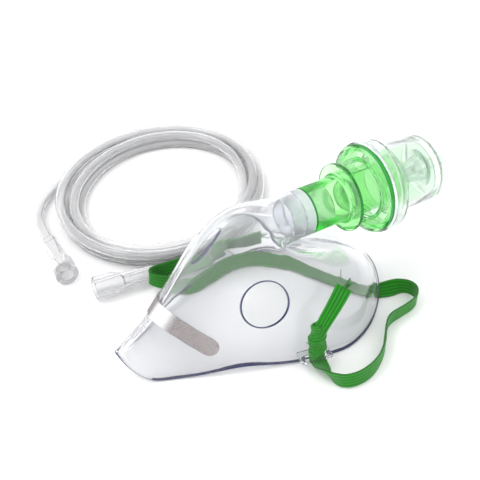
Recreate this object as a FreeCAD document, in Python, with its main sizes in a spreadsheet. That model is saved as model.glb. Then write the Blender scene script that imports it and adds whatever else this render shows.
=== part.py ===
"""Aerosol therapy kit: a clear face mask with its elastic strap, a small-volume
nebuliser pushed into the mask's port, and a coil of air tubing with two funnel connectors.

Frame: millimetres, +Z up. The mask rests on its face rim at z = 0, its nose end points
to -X, and the nebuliser lies along +X at the height of the mask's port. The origin is
under the middle of the mask and nebuliser.
"""
import FreeCAD
import Part
import Sketcher
import math
import os
import re

Vector = FreeCAD.Vector
Z_UP = Vector(0, 0, 1)
X_AXIS = Vector(1, 0, 0)

doc = FreeCAD.newDocument("AerosolMaskKit")

# ---------------------------------------------------------------- driving dimensions
SIZES = [
    ("datum", 30, "turned parts are drawn from a plane this far behind the origin"),
    ("port_height", 50, "height of the nebuliser's axis"),
    # mask
    ("nose_x", -91, "tip of the nose lip"),
    ("chin_x", 48, "chin end of the rim"),
    ("cheek_x", 3, "widest place of the rim"),
    ("cheek_half", 42, "half of the rim's width"),
    ("nose_arch", 12, "the rim's height over the bridge of the nose"),
    ("cheek_arch", 3.5, "lift of the rim between nose and cheeks"),
    ("chin_arch", 7.5, "lift of the rim under the chin"),
    ("rim_gap", 0.1, "the rim's lowest stretch above the surface it rests on"),
    ("mask_wall", 1.5, "soft shell thickness"),
    ("neck_end", 2, "end of the mask's neck"),
    ("neck_radius", 11, "outer radius of the neck"),
    ("vent_radius", 10.2, "exhalation hole"),
    ("vent_x", -30.5, "exhalation hole, along the mask"),
    ("vent_height", 30, "exhalation hole, above the rim"),
    ("ear_x", -14, "strap slot, along the mask"),
    ("ear_reach", 45.5, "outer edge of the strap ear from the middle plane"),
    ("ear_length", 15, "ear along the rim"),
    ("ear_level", 4, "underside of the ear"),
    ("ear_thick", 1.6, "ear thickness"),
    ("slot_length", 10, "strap slot, long way"),
    ("slot_width", 2.4, "strap slot, short way"),
    ("slot_y", 42.5, "strap slot from the middle plane"),
    # nose clip
    ("clip_width", 8, "strip width"),
    ("clip_thick", 0.6, "strip thickness"),
    ("clip_arm", 18.3, "strip from the ridge to its rounded end"),
    ("clip_x", -70.2, "where the strip crosses the ridge"),
    ("clip_height", 26.1, "height of that crossing"),
    ("clip_slope", 50, "slope of the ridge there, in degrees"),
    # nebuliser
    ("lid_start", 7.3, "mouth of the lid's tube"),
    ("lid_radius", 11, "outer radius of the lid's tube"),
    ("lid_bore", 9.6, "bore of the lid's tube"),
    ("shoulder_x", 27.6, "front of the lid's shoulder disc"),
    ("shoulder_radius", 16.5, "radius of the shoulder disc and its ribs"),
    ("plate", 1.6, "wall of the shoulder disc and ribs"),
    ("rib_width", 10, "width of the two ribs between the air windows"),
    ("flange_x", 40.7, "front of the lid's flange"),
    ("flange_radius", 21.6, "radius of the lid's flange"),
    ("flange_thick", 2.5, "thickness of the lid's flange"),
    ("chimney_end", 59.5, "end of the lid's inner tube"),
    ("sleeve_radius", 14.35, "outer radius of the baffle sleeve"),
    ("sleeve_end", 73.7, "far end of the baffle sleeve"),
    ("cup_start", 43.5, "mouth of the medicine cup"),
    ("collar_radius", 22.3, "outer radius of the cup's collar"),
    ("collar_bore", 20, "inner radius of the cup's collar"),
    ("collar_length", 7, "length of the cup's collar"),
    ("barrel_radius", 16.5, "outer radius of the cup's barrel"),
    ("barrel_bore", 15.1, "inner radius of the cup's barrel"),
    ("floor_x", 76, "floor of the cup"),
    ("cup_end", 91, "open end of the cup's skirt"),
    ("post_tip", 62, "tip of the jet post"),
    ("inlet_end", 89, "end of the air inlet"),
    ("inlet_radius", 2.75, "air inlet"),
    # strap
    ("strap_width", 8, "elastic, wide way"),
    ("strap_thick", 1.2, "elastic, thin way"),
    ("strap_bottom", 0.3, "lowest edge of the elastic"),
    # tubing
    ("tube_radius", 2.7, "outer radius of the air tubing"),
    ("coil_x", -9, "middle of the coil"),
    ("coil_y", 111.5, "middle of the coil"),
    ("coil_long", 68, "coil, outer half length"),
    ("coil_short", 57, "coil, outer half width"),
    ("coil_tilt", 50, "coil, turn of its long way, in degrees"),
    ("coil_bundle", 17, "width of the bundle of turns"),
    ("coil_height", 11, "height of the bundle of turns"),
    ("funnel_radius", 5.75, "connector mouth"),
    ("funnel_length", 31.5, "connector length"),
    ("funnel_height", 5.9, "height of a connector's axis"),
]

sheet = doc.addObject("Spreadsheet::Sheet", "Dimensions")
for row, (alias, value, meaning) in enumerate(SIZES, start=1):
    sheet.set(f"A{row}", alias)
    sheet.set(f"B{row}", str(value))
    sheet.setAlias(f"B{row}", alias)
    sheet.set(f"C{row}", meaning)
doc.recompute()
ALIASES = {alias for alias, value, meaning in SIZES}


def size(alias):
    """The value of one cell."""
    return float(sheet.get(alias))


def bound(formula):
    """A formula in the sheet's aliases, written the way setExpression wants it."""
    return re.sub(r"[a-z_]+", lambda word: "Dimensions." * (word[0] in ALIASES) + word[0], formula)


def bind(feature, **formulas):
    """Bind properties, such as Radius, to formulas."""
    for prop, formula in formulas.items():
        feature.setExpression(prop, bound(formula))


def bind_base(feature, along_x="0", along_y="0", along_z="0"):
    """Bind where a feature stands."""
    for axis, formula in zip("xyz", (along_x, along_y, along_z)):
        feature.setExpression(f"Placement.Base.{axis}", bound(formula))


def named(label, feature):
    """Give the object that holds a finished sub-part its node name."""
    feature.Label = label
    return feature


def shape_feature(label, shape):
    """A sub-part whose free form is computed here."""
    feature = doc.addObject("Part::Feature", label)
    feature.Shape = shape
    return named(label, feature)


def turned(label, profile):
    """A body turned about the X axis from a closed profile of (station, radius) formulas."""
    body = doc.addObject("PartDesign::Body", label)
    plane = next(f for f in body.Origin.OriginFeatures if f.Role == "XY_Plane")
    sketch = body.newObject("Sketcher::SketchObject", label + "_profile")
    sketch.AttachmentSupport = [(plane, "")]
    sketch.MapMode = "FlatFace"
    count = len(profile)
    start = [Vector(10 + 5 * math.cos(2 * math.pi * i / count), 10 + 5 * math.sin(2 * math.pi * i / count), 0)
             for i in range(count)]
    for i in range(count):
        sketch.addGeometry(Part.LineSegment(start[i], start[(i + 1) % count]), False)
    for i in range(count):
        sketch.addConstraint(Sketcher.Constraint("Coincident", i, 2, (i + 1) % count, 1))
    for i, (station, radius) in enumerate(profile):
        across = sketch.addConstraint(Sketcher.Constraint("DistanceX", -1, 1, i, 1, start[i].x))
        sketch.setExpression(f"Constraints[{across}]", bound(station))
        upward = sketch.addConstraint(Sketcher.Constraint("DistanceY", -1, 1, i, 1, start[i].y))
        sketch.setExpression(f"Constraints[{upward}]", bound(radius))
    doc.recompute()
    turn = body.newObject("PartDesign::Revolution", label + "_turn")
    turn.Profile = sketch
    turn.ReferenceAxis = (sketch, ["H_Axis"])
    turn.Angle = 360
    body.Tip = turn
    doc.recompute()
    return body


def on_axis(body):
    """Stand a turned body on the nebuliser's axis."""
    bind_base(body, "-datum", "0", "port_height")
    return body


def stations(profile):
    """Measure a profile's stations from the origin instead of from the datum plane."""
    return [(f"datum + {station}", radius) for station, radius in profile]


# ---------------------------------------------------------------- mask shell
# The shell is one surface between the rim and the neck. It is drawn as rings: each ring
# has a nose point and a chin point on the middle plane and a cheek point at its widest.
# Its halves are superellipses whose exponents run from pointed to round, and its height
# runs from the cheek to the two ends by a power of the cosine: 2 on the face, 1 on the neck.
RINGS = [
    # nose x, z   cheek x, y, z    chin x, z   nose and chin exponents, height power
    (-87.2, 12.3, 3.0, 40.9, 2.6, 46.6, 9.6, 1.38, 1.75, 2.0),
    (-81.5, 15.4, 2.2, 39.9, 9.5, 44.4, 13.6, 1.40, 1.85, 2.0),
    (-74.0, 22.0, 0.5, 38.3, 18.0, 40.4, 19.0, 1.45, 1.95, 2.0),
    (-63.0, 34.6, -3.5, 34.6, 28.0, 33.0, 24.8, 1.55, 2.0, 2.0),
    (-52.0, 50.2, -8.5, 28.4, 38.0, 23.2, 29.4, 1.65, 2.0, 2.0),
    (-39.5, 61.6, -13.5, 21.0, 45.8, 12.5, 32.4, 1.80, 2.0, 1.8),
    (-27.5, 65.2, -15.5, 15.2, 49.2, 2.6, 34.8, 1.90, 2.0, 1.5),
    (-18.5, 64.4, -14.0, 12.3, 50.0, -3.6, 36.3, 2.0, 2.0, 1.2),
    (-12.5, 62.3, -9.6, 11.1, 50.0, -6.2, 37.7, 2.0, 2.0, 1.0),
]
NECK_RINGS = [(8.5, 2.0), (4.3, 0.7), (0, 0)]
AROUND = 48
EAR_LEAN = 13


def superellipse(turn, exponent):
    """Cosine and sine of a turn, raised so that they trace a superellipse."""
    power = 2 / exponent
    cosine, sine = math.cos(turn), math.sin(turn)
    return math.copysign(abs(cosine) ** power, cosine), math.copysign(abs(sine) ** power, sine)


def rim_height(along):
    """Height of the rim, which arches over the nose, between nose and cheeks, and at the chin."""
    nose = max(0.0, 1 - (along - size("nose_x")) / 18) ** 2
    cheek = math.exp(-(((along + 44) / 14) ** 2))
    chin = max(0.0, (along - 15) / (size("chin_x") - 15)) ** 2
    arches = size("nose_arch") * nose + size("cheek_arch") * cheek + size("chin_arch") * chin
    return size("rim_gap") + arches


def ring_point(ring, turn):
    """One point of a ring; turn 0 is the nose, a half turn is the chin."""
    nose_x, nose_z, cheek_x, cheek_y, cheek_z, chin_x, chin_z, nose_power, chin_power, climb = ring
    at_nose = math.cos(turn) > 0
    ahead, side = superellipse(turn, nose_power if at_nose else chin_power)
    end_x, end_z = (nose_x, nose_z) if at_nose else (chin_x, chin_z)
    blend = abs(math.cos(turn)) ** climb
    return Vector(cheek_x + (end_x - cheek_x) * abs(ahead), -cheek_y * side,
                  cheek_z + (end_z - cheek_z) * blend)


def rim_point(turn):
    """One point of the face rim."""
    flat = (size("nose_x"), 0, size("cheek_x"), size("cheek_half"), 0, size("chin_x"), 0, 1.37, 1.7, 2)
    point = ring_point(flat, turn)
    point.z = rim_height(point.x)
    return point


def neck_point(along, slant, turn):
    """One point of the round neck: the nose side is its top and the chin side its bottom."""
    radius = size("neck_radius")
    return Vector(along - slant * math.cos(turn), -radius * math.sin(turn),
                  size("port_height") + radius * math.cos(turn))


def mask_grid():
    """Rings of the outer surface, from the rim to the end of the neck."""
    turns = [2 * math.pi * i / AROUND for i in range(AROUND)]
    grid = [[rim_point(turn) for turn in turns]]
    for ring in RINGS:
        grid.append([ring_point(ring, turn) for turn in turns])
    for before_end, slant in NECK_RINGS:
        grid.append([neck_point(size("neck_end") - before_end, slant, turn) for turn in turns])
    return grid


def ring_poles(ring):
    """Poles of the closed cubic curve that passes through the points of a ring."""
    poles = list(ring)
    for sweep in range(24):
        poles = [(ring[i] * 6 - poles[i - 1] - poles[(i + 1) % AROUND]) * 0.25 for i in range(AROUND)]
    return poles


def smooth_surface(grid):
    """A smooth surface drawn towards the rings, closed around; it cannot swing past them."""
    spans = len(grid) - 3
    along = [4] + [1] * (spans - 1) + [4]
    surface = Part.BSplineSurface()
    surface.buildFromPolesMultsKnots([ring_poles(ring) for ring in grid], along, [1] * (AROUND + 1),
                                     list(range(spans + 1)), list(range(AROUND + 1)), False, True, 3, 3)
    return surface


def offset_grid(grid, depth):
    """The rings moved inwards by depth. The rim and the neck's end stay in their planes."""
    moved = []
    for k, ring in enumerate(grid):
        row = []
        for i, point in enumerate(ring):
            around = ring[(i + 1) % AROUND] - ring[i - 1]
            upward = grid[min(k + 1, len(grid) - 1)][i] - grid[max(k - 1, 0)][i]
            normal = upward.cross(around)
            if k == 0:
                normal.z = 0
            if k >= len(grid) - len(NECK_RINGS):
                normal.x = 0
            normal.normalize()
            row.append(point + normal * depth)
        moved.append(row)
    return moved


def shell_between(outer_grid, inner_grid):
    """A closed solid between two sets of rings."""
    outer = smooth_surface(outer_grid).toShape()
    inner = smooth_surface(inner_grid).toShape()

    def border(face, level):
        """The closed edge of a face nearest to one ring's first point."""
        rings = [edge for edge in face.Edges if edge.isClosed()]
        return min(rings, key=lambda edge: min(v.Point.distanceToPoint(level) for v in edge.Vertexes))

    closing = [Part.makeRuledSurface(border(outer, outer_grid[row][0]), border(inner, inner_grid[row][0]))
               for row in (0, -1)]
    shell = Part.makeShell([outer, inner] + closing)
    shell.sewShape()
    solid = Part.makeSolid(shell)
    if solid.Volume < 0:
        solid.reverse()
    return solid


def ear(side):
    """A flat ear beside the rim, with the slot that the strap is threaded through."""
    long_way = size("ear_length")
    inner = size("slot_y") - 5.6
    deep = size("ear_reach") - inner
    block = Part.makeBox(long_way, deep, size("ear_thick"), Vector(-long_way / 2, inner - size("slot_y"), 0))
    corners = [edge for edge in block.Edges if edge.tangentAt(0).cross(Z_UP).Length < 0.01
               and edge.Vertexes[0].Y > 0]
    plate = block.makeFillet(2.2, corners)
    slot = Part.makeBox(size("slot_length"), size("slot_width"), 3 * size("ear_thick"),
                        Vector(-size("slot_length") / 2, -size("slot_width") / 2, -size("ear_thick")))
    for piece in (plate, slot):
        piece.rotate(Vector(0, 0, 0), Z_UP, EAR_LEAN)
        piece.translate(Vector(size("ear_x"), size("slot_y"), size("ear_level")))
    if side < 0:
        plate = plate.mirror(Vector(0, 0, 0), Vector(0, 1, 0))
        slot = slot.mirror(Vector(0, 0, 0), Vector(0, 1, 0))
    return plate, slot


def build_mask():
    grid = mask_grid()
    solid = shell_between(grid, offset_grid(grid, size("mask_wall")))
    for side in (-1, 1):
        plate, slot = ear(side)
        solid = solid.fuse(plate).cut(slot)
        middle = Vector(size("vent_x"), side * 25, size("vent_height"))
        outward = Vector(-0.15, side * 0.83, 0.53).normalize()
        drill = Part.makeCylinder(size("vent_radius"), 30, middle - outward * 13, outward)
        solid = solid.cut(drill)
    return shape_feature("mask_shell", solid)


def build_nose_clip():
    """A soft aluminium strip over the ridge, square to it, with rounded ends."""
    grid = mask_grid()
    gap = 0.12
    slab = shell_between(offset_grid(grid, -gap - size("clip_thick")), offset_grid(grid, -gap))
    half = size("clip_width") / 2
    outline = Part.makeBox(size("clip_arm") + 8, 120, 2 * half, Vector(-8, -60, -half))
    tip = Part.makeCylinder(half, 120, Vector(size("clip_arm"), -60, 0), Vector(0, 1, 0))
    prism = outline.fuse(tip)
    prism.rotate(Vector(0, 0, 0), Vector(0, 1, 0), 90 - size("clip_slope"))
    prism.translate(Vector(size("clip_x"), 0, size("clip_height")))
    return shape_feature("nose_clip", slab.common(prism))


# ---------------------------------------------------------------- nebuliser
def build_adaptor():
    """Clear swivel adaptor: one spigot in the mask's neck, one in the lid's tube."""
    return on_axis(turned("port_adaptor", stations([
        ("neck_end - 6", "lid_bore - 1.7"), ("neck_end - 6", "lid_bore - 0.6"),
        ("neck_end - 5.4", "lid_bore - 0.4"),
        ("neck_end + 0.2", "lid_bore - 0.4"), ("neck_end + 0.2", "lid_radius"),
        ("lid_start - 0.2", "lid_radius"), ("lid_start - 0.2", "lid_bore - 0.3"),
        ("lid_start + 10.6", "lid_bore - 0.3"),
        ("lid_start + 11.2", "lid_bore - 0.6"), ("lid_start + 11.2", "lid_bore - 1.7")])))


def build_lid():
    """Green lid: tube, shoulder, inner tube with an impact bar, two ribs, flange and skirt."""
    core = on_axis(turned("lid_core", stations([
        ("lid_start", "lid_bore"), ("lid_start", "lid_radius"), ("shoulder_x - 2.2", "lid_radius"),
        ("shoulder_x - 1.4", "lid_radius + 1.1"), ("shoulder_x", "lid_radius + 1.1"),
        ("shoulder_x", "shoulder_radius"),
        ("shoulder_x + plate", "shoulder_radius"), ("shoulder_x + plate", "lid_radius"),
        ("chimney_end", "lid_radius"), ("chimney_end", "lid_bore")])))
    flange = on_axis(turned("lid_flange", stations([
        ("flange_x", "sleeve_radius + 0.55"), ("flange_x", "flange_radius - 0.7"),
        ("flange_x + 0.7", "flange_radius"),
        ("flange_x + flange_thick", "flange_radius"), ("flange_x + flange_thick", "collar_bore - 0.4"),
        ("cup_start + collar_length - 0.8", "collar_bore - 0.4"),
        ("cup_start + collar_length - 0.8", "collar_bore - 1.9"),
        ("flange_x + flange_thick", "collar_bore - 1.9"),
        ("flange_x + flange_thick", "sleeve_radius + 0.55")])))
    cage = on_axis(turned("lid_cage", stations([
        ("shoulder_x + 0.8", "sleeve_radius + 0.55"), ("shoulder_x + 0.8", "shoulder_radius"),
        ("flange_x + 0.4", "shoulder_radius"), ("flange_x + 0.4", "sleeve_radius + 0.55")])))
    slab = doc.addObject("Part::Box", "rib_slab")
    bind(slab, Length="flange_x - shoulder_x", Width="rib_width", Height="2 * shoulder_radius + 4")
    bind_base(slab, "shoulder_x + 0.4", "-rib_width / 2", "port_height - shoulder_radius - 2")
    ribs = doc.addObject("Part::Common", "lid_ribs")
    ribs.Base = cage
    ribs.Tool = slab
    bar = doc.addObject("Part::Box", "impact_bar")
    bind(bar, Length="plate", Width="2.6", Height="2 * lid_bore + 1.4")
    bind_base(bar, "chimney_end - 2 * plate", "-1.3", "port_height - lid_bore - 0.7")
    lid = doc.addObject("Part::MultiFuse", "neb_lid")
    lid.Shapes = [core, flange, ribs, bar]
    return named("neb_lid", lid)


def build_sleeve():
    """Pale green sleeve, pressed into the lid, that hangs down inside the cup."""
    return on_axis(turned("baffle_sleeve", stations([
        ("flange_x + 0.2", "sleeve_radius - 1.15"), ("flange_x + 0.2", "sleeve_radius + 0.5"),
        ("flange_x + 2.3", "sleeve_radius + 0.5"), ("flange_x + 2.8", "sleeve_radius"),
        ("sleeve_end", "sleeve_radius"), ("sleeve_end", "sleeve_radius - 1.15")])))


def build_jet_cap():
    """The loose cone over the jet post that draws the medicine up to the nozzle."""
    return on_axis(turned("jet_cap", stations([
        ("post_tip - 1.6", "0.8"), ("post_tip - 1.6", "3.0"), ("post_tip - 0.5", "3.7"),
        ("floor_x - 3.4", "6.1"),
        ("floor_x - 2.4", "8.6"), ("floor_x - 1.6", "8.6"), ("floor_x - 1.6", "4.7"),
        ("post_tip - 0.4", "2.5"), ("post_tip - 0.4", "0.8")])))


def build_cup():
    """Clear cup: collar, barrel, conical floor with the jet post, open skirt and air inlet."""
    return on_axis(turned("medicine_cup", stations([
        ("cup_start", "collar_bore"), ("cup_start", "collar_radius - 0.5"),
        ("cup_start + 0.5", "collar_radius"), ("cup_start + collar_length", "collar_radius"),
        ("cup_start + collar_length + 1", "collar_radius - 0.8"),
        ("cup_start + collar_length + 2.3", "barrel_radius + 0.6"),
        ("cup_start + collar_length + 3.2", "barrel_radius"),
        ("cup_end", "barrel_radius"), ("cup_end", "barrel_bore"), ("floor_x + 1.5", "barrel_bore"),
        ("floor_x + 1.1", "inlet_radius + 1.2"), ("floor_x + 2.5", "inlet_radius"),
        ("inlet_end - 1.2", "inlet_radius"), ("inlet_end", "inlet_radius - 0.5"), ("inlet_end", "1.5"),
        ("post_tip + 4", "1.5"), ("post_tip + 0.6", "0.6"), ("post_tip", "0.6"), ("post_tip", "2.0"),
        ("floor_x - 1.5", "3.8"), ("floor_x", "barrel_bore"),
        ("cup_start + collar_length + 1.9", "barrel_bore"),
        ("cup_start + collar_length + 0.2", "collar_bore")])))


# ---------------------------------------------------------------- lines that bend
def rounded_path(name, points):
    """Straight runs joined by tangent arcs, as large as each pair of runs allows."""
    edges = []
    radii = []
    before = points[0]
    for first, corner, last in zip(points, points[1:], points[2:]):
        inward, outward = first - corner, last - corner
        reach = 0.45 * min(inward.Length, outward.Length)
        inward.normalize()
        outward.normalize()
        half_turn = (math.pi - inward.getAngle(outward)) / 2
        radius = reach / math.tan(half_turn)
        radii.append(radius)
        start, end = corner + inward * reach, corner + outward * reach
        middle = (inward + outward).normalize() * (radius / math.cos(half_turn) - radius)
        edges.append(Part.LineSegment(before, start).toShape())
        edges.append(Part.Arc(start, corner + middle, end).toShape())
        before = end
    edges.append(Part.LineSegment(before, points[-1]).toShape())
    path = Part.Wire(edges)
    print(f"{name}: length {path.Length:.1f}, radii", [round(radius, 1) for radius in radii])
    return path


def swept(name, path, profile):
    """Sweep a profile along a path, keeping it upright, and compare the volume."""
    maker = Part.BRepOffsetAPI.MakePipeShell(path)
    maker.setBiNormalMode(Z_UP)
    maker.add(profile)
    maker.build()
    maker.makeSolid()
    solid = maker.shape()
    expected = Part.Face(profile).Area * path.Length
    print(f"{name}: volume {solid.Volume:.0f}, section times length {expected:.0f}")
    return solid


def tube(name, points):
    """A plain round tube solid along a path."""
    points = [Vector(*point) for point in points]
    path = rounded_path(name, points)
    circle = Part.Circle(points[0], points[1] - points[0], size("tube_radius"))
    return shape_feature(name, swept(name, path, Part.Wire(circle.toShape())))


def ribbon(name, points, wide_up):
    """A plain flat ribbon, on its edge or lying flat, along a level path."""
    level = size("strap_bottom")
    points = [Vector(x, y, level) for x, y in points]
    path = rounded_path(name, points)
    across = (points[1] - points[0]).cross(Z_UP).normalize()
    width, height = size("strap_thick"), size("strap_width")
    if not wide_up:
        width, height = height, width
    corners = [points[0] + across * (width / 2), points[0] - across * (width / 2)]
    corners += [corners[1] + Z_UP * height, corners[0] + Z_UP * height]
    profile = Part.makePolygon(corners + [corners[0]])
    return shape_feature(name, swept(name, path, profile))


# ---------------------------------------------------------------- head strap
NEAR_LOOP = [(-14, -50.5), (-16.2, -56), (-12.5, -62.3), (-4, -63.5), (6, -61), (15.5, -54.5), (22.5, -46.5),
             (29, -40.5), (38.5, -39.5), (48.5, -38), (54.5, -31.5), (51.5, -24.5), (43.5, -22)]
CROSSING = [(43.5, -22), (36, -17.5), (29.5, -5), (22, 9), (11, 20.5), (-2.5, 28), (-17, 27.5),
            (-29, 23.5), (-38, 25), (-43, 32.5)]
FAR_LOOP = [(-43, 32.5), (-46, 36), (-50.4, 36.9), (-53, 39.9), (-50.2, 42.6), (-43.5, 42), (-35, 42.3),
            (-25.5, 44)]


def build_strap():
    ribbon("strap_near_loop", NEAR_LOOP, wide_up=True)
    ribbon("strap_crossing", CROSSING, wide_up=False)
    ribbon("strap_far_loop", FAR_LOOP, wide_up=True)
    for side, name in ((-1, "near"), (1, "far")):
        build_knot(side, name)
        build_tail(side, name)


def build_knot(side, name):
    """The knot over the ear, with the stretch of strap that goes down through the slot."""
    width, thick = size("strap_width"), size("strap_thick")
    level = size("ear_level") + size("ear_thick") + 0.4
    at = Vector(size("ear_x"), side * size("slot_y"), 0)
    bottom = size("strap_bottom")
    stub = Part.makeBox(width, thick, level + 1 - bottom, Vector(-width / 2, -thick / 2, bottom))
    knot = Part.makeBox(width, 6.4, 11, Vector(-width / 2, -2.6, level))
    knot = knot.makeFillet(2.2, knot.Edges)
    stub.rotate(Vector(0, 0, 0), Z_UP, EAR_LEAN)
    piece = stub.fuse(knot)
    if side < 0:
        piece = piece.mirror(Vector(0, 0, 0), Vector(0, 1, 0))
        foot_end = 50.5
        foot = Part.makeBox(width, foot_end - size("slot_y"), thick,
                            Vector(-width / 2, -(foot_end - size("slot_y")), bottom))
    else:
        foot_end = 25.5
        foot = Part.makeBox(foot_end + size("ear_x") + width / 2, 2.6, thick,
                            Vector(-foot_end - size("ear_x"), 0, bottom))
    piece = piece.fuse(foot)
    piece.translate(at)
    return shape_feature(f"{name}_knot", piece.removeSplitter())


def build_tail(side, name):
    """The cut end of the strap beyond the knot, lying back along the mask."""
    lean, tip_in, beside, above = (46, 19, 2.6, 17) if side < 0 else (-6, 3, 4.8, 8)
    tail = Part.makeBox(20, size("strap_thick"), size("strap_width"), Vector(0, -size("strap_thick") / 2, -4))
    tail.rotate(Vector(0, 0, 0), Vector(0, 1, 0), -lean)
    tail.rotate(Vector(0, 0, 0), X_AXIS, tip_in)
    tail.translate(Vector(size("ear_x") + beside, size("slot_y") + 0.6, size("ear_level") + above))
    if side < 0:
        tail = tail.mirror(Vector(0, 0, 0), Vector(0, 1, 0))
    return shape_feature(f"{name}_tail", tail)


# ---------------------------------------------------------------- air tubing
TAIL_A = [(-41, 157.5, 5), (-53, 150.5, 3.4), (-63, 141, 2.9), (-71, 129.5, 2.9), (-77, 115, 4.4),
          (-80.8, 99, 5.9)]
MOUTH_A = (-84.3, 67.6)
TAIL_B = [(-46.5, 47.4, 5.9), (-38, 46.6, 4.6), (-29, 48.6, 3.2), (-19, 51.9, 2.9)]
MOUTH_B = (-77.6, 51.4)


def build_coil():
    """The outer shape of the wound turns: a low oval ring."""
    rings = []
    for name, inset in (("coil_outside", "0"), ("coil_inside", "coil_bundle")):
        outline = doc.addObject("Part::Ellipse", name + "_outline")
        bind(outline, MajorRadius=f"coil_long - {inset}", MinorRadius=f"coil_short - {inset}")
        block = doc.addObject("Part::Extrusion", name)
        block.Base = outline
        block.DirMode = "Custom"
        block.Dir = Z_UP
        block.Solid = True
        bind(block, LengthFwd="coil_height")
        rings.append(block)
    coil = doc.addObject("Part::Cut", "tube_coil")
    coil.Base, coil.Tool = rings
    coil.Placement = FreeCAD.Placement(Vector(0, 0, 0), FreeCAD.Rotation(Z_UP, size("coil_tilt")))
    bind_base(coil, "coil_x", "coil_y", "0")
    return named("tube_coil", coil)


def build_funnel(label, mouth, inner_end):
    """A funnel connector that lies level, its mouth at one end and the tube at the other."""
    body = turned(label, [
        ("1", "inlet_radius + 0.25"), ("1", "funnel_radius - 0.4"), ("1.4", "funnel_radius"),
        ("9.5", "funnel_radius"),
        ("13.5", "funnel_radius - 1.4"), ("24", "funnel_radius - 1.75"), ("24.5", "funnel_radius - 2.2"),
        ("funnel_length + 1", "funnel_radius - 2.4"), ("funnel_length + 1", "1.6"), ("16", "1.6"),
        ("15", "inlet_radius + 0.25")])
    heading = Vector(inner_end[0] - mouth[0], inner_end[1] - mouth[1], 0).normalize()
    before_mouth = Vector(mouth[0] - heading.x, mouth[1] - heading.y, size("funnel_height"))
    body.Placement = FreeCAD.Placement(before_mouth, FreeCAD.Rotation(X_AXIS, heading))
    return body


def build_tubing():
    build_coil()
    tube("tube_tail_a", TAIL_A)
    tube("tube_tail_b", TAIL_B)
    build_funnel("connector_a", MOUTH_A, TAIL_A[-1])
    build_funnel("connector_b", MOUTH_B, TAIL_B[0])


# ---------------------------------------------------------------- the kit
NODES = ["mask_shell", "nose_clip", "port_adaptor", "neb_lid", "baffle_sleeve", "jet_cap", "medicine_cup",
         "strap_near_loop", "strap_crossing", "strap_far_loop",
         "near_knot", "far_knot", "near_tail", "far_tail",
         "tube_coil", "tube_tail_a", "tube_tail_b", "connector_a", "connector_b"]

build_mask()
build_nose_clip()
build_adaptor()
build_lid()
build_sleeve()
build_jet_cap()
build_cup()
build_strap()
build_tubing()
doc.recompute()

for feature in doc.Objects:
    if "Invalid" in feature.State or "Error" in feature.State:
        raise RuntimeError(f"{feature.Label} failed: {feature.State}")

os.makedirs("parts", exist_ok=True)
for node in NODES:
    feature = doc.getObjectsByLabel(node)[0]
    shape = feature.Shape
    if shape.isNull() or not shape.isValid() or shape.Volume <= 0:
        raise RuntimeError(f"{node} has no valid solid")
    box = shape.optimalBoundingBox()
    print(f"{node}: {len(shape.Solids)} solid, volume {shape.Volume:.0f}, x {box.XMin:.1f} {box.XMax:.1f}",
          f" y {box.YMin:.1f} {box.YMax:.1f}  z {box.ZMin:.1f} {box.ZMax:.1f}")
    shape.exportStep(f"parts/{node}.step")
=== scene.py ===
# %% [markdown]
# # An aerosol mask kit
# Nearly all of it is see-through plastic, so this lesson is mostly about clear things:
# walls with a real thickness, and light that is tinted on its way through them. The
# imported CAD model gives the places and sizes.

# %% Load the frame
import bpy
import math
import random
import numpy as np
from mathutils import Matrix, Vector


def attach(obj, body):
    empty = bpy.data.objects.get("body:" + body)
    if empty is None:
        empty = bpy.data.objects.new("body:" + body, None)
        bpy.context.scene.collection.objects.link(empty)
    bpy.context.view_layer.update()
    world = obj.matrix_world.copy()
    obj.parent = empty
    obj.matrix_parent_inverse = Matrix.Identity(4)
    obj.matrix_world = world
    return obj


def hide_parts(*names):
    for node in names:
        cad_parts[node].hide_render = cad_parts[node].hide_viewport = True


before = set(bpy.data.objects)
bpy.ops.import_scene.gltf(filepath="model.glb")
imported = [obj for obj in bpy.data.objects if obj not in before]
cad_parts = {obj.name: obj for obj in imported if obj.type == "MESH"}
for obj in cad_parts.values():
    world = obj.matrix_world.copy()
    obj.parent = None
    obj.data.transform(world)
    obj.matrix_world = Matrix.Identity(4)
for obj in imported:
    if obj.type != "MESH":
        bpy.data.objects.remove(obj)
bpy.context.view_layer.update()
MM = 0.001


# %% [markdown]
# Every piece is made the same way: an object is selected alone, edited, and in the end its
# modifiers are applied and its place is moved into its mesh. These helpers do that.

# %% Helpers for objects
def only(*objects):
    """Select these objects and nothing else; the last one is active."""
    bpy.ops.object.select_all(action="DESELECT")
    for obj in objects:
        obj.select_set(True)
        bpy.context.view_layer.objects.active = obj
    return objects[-1]


def add(obj, kind, **settings):
    """Add a modifier."""
    modifier = obj.modifiers.new(kind.title(), kind)
    for name, value in settings.items():
        setattr(modifier, name, value)
    return obj


def applied(obj):
    """Apply an object's modifiers and its place."""
    only(obj)
    for modifier in list(obj.modifiers):
        bpy.ops.object.modifier_apply(modifier=modifier.name)
    bpy.ops.object.transform_apply(location=True, rotation=True, scale=True)
    return obj


def smooth(obj, angle=32):
    """Shade smooth, but keep edges sharper than the angle, in degrees."""
    only(obj)
    bpy.ops.object.shade_smooth_by_angle(angle=math.radians(angle))
    return obj


def joined(name, objects):
    """Make several objects one mesh."""
    only(*objects)
    bpy.ops.object.join()
    whole = bpy.context.active_object
    whole.name = name
    whole.data.name = name
    return whole


def dress(obj, material):
    """Give all faces of an object one material."""
    obj.data.materials.clear()
    obj.data.materials.append(material)
    obj.data.polygons.foreach_set("material_index", [0] * len(obj.data.polygons))
    return obj


def corners(obj):
    """An object's vertices as an array of points."""
    flat = np.empty(len(obj.data.vertices) * 3)
    obj.data.vertices.foreach_get("co", flat)
    return flat.reshape(-1, 3)


def move_corners(obj, points):
    """Put an object's vertices at these points."""
    obj.data.vertices.foreach_set("co", np.asarray(points).ravel())
    obj.data.update()


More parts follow.
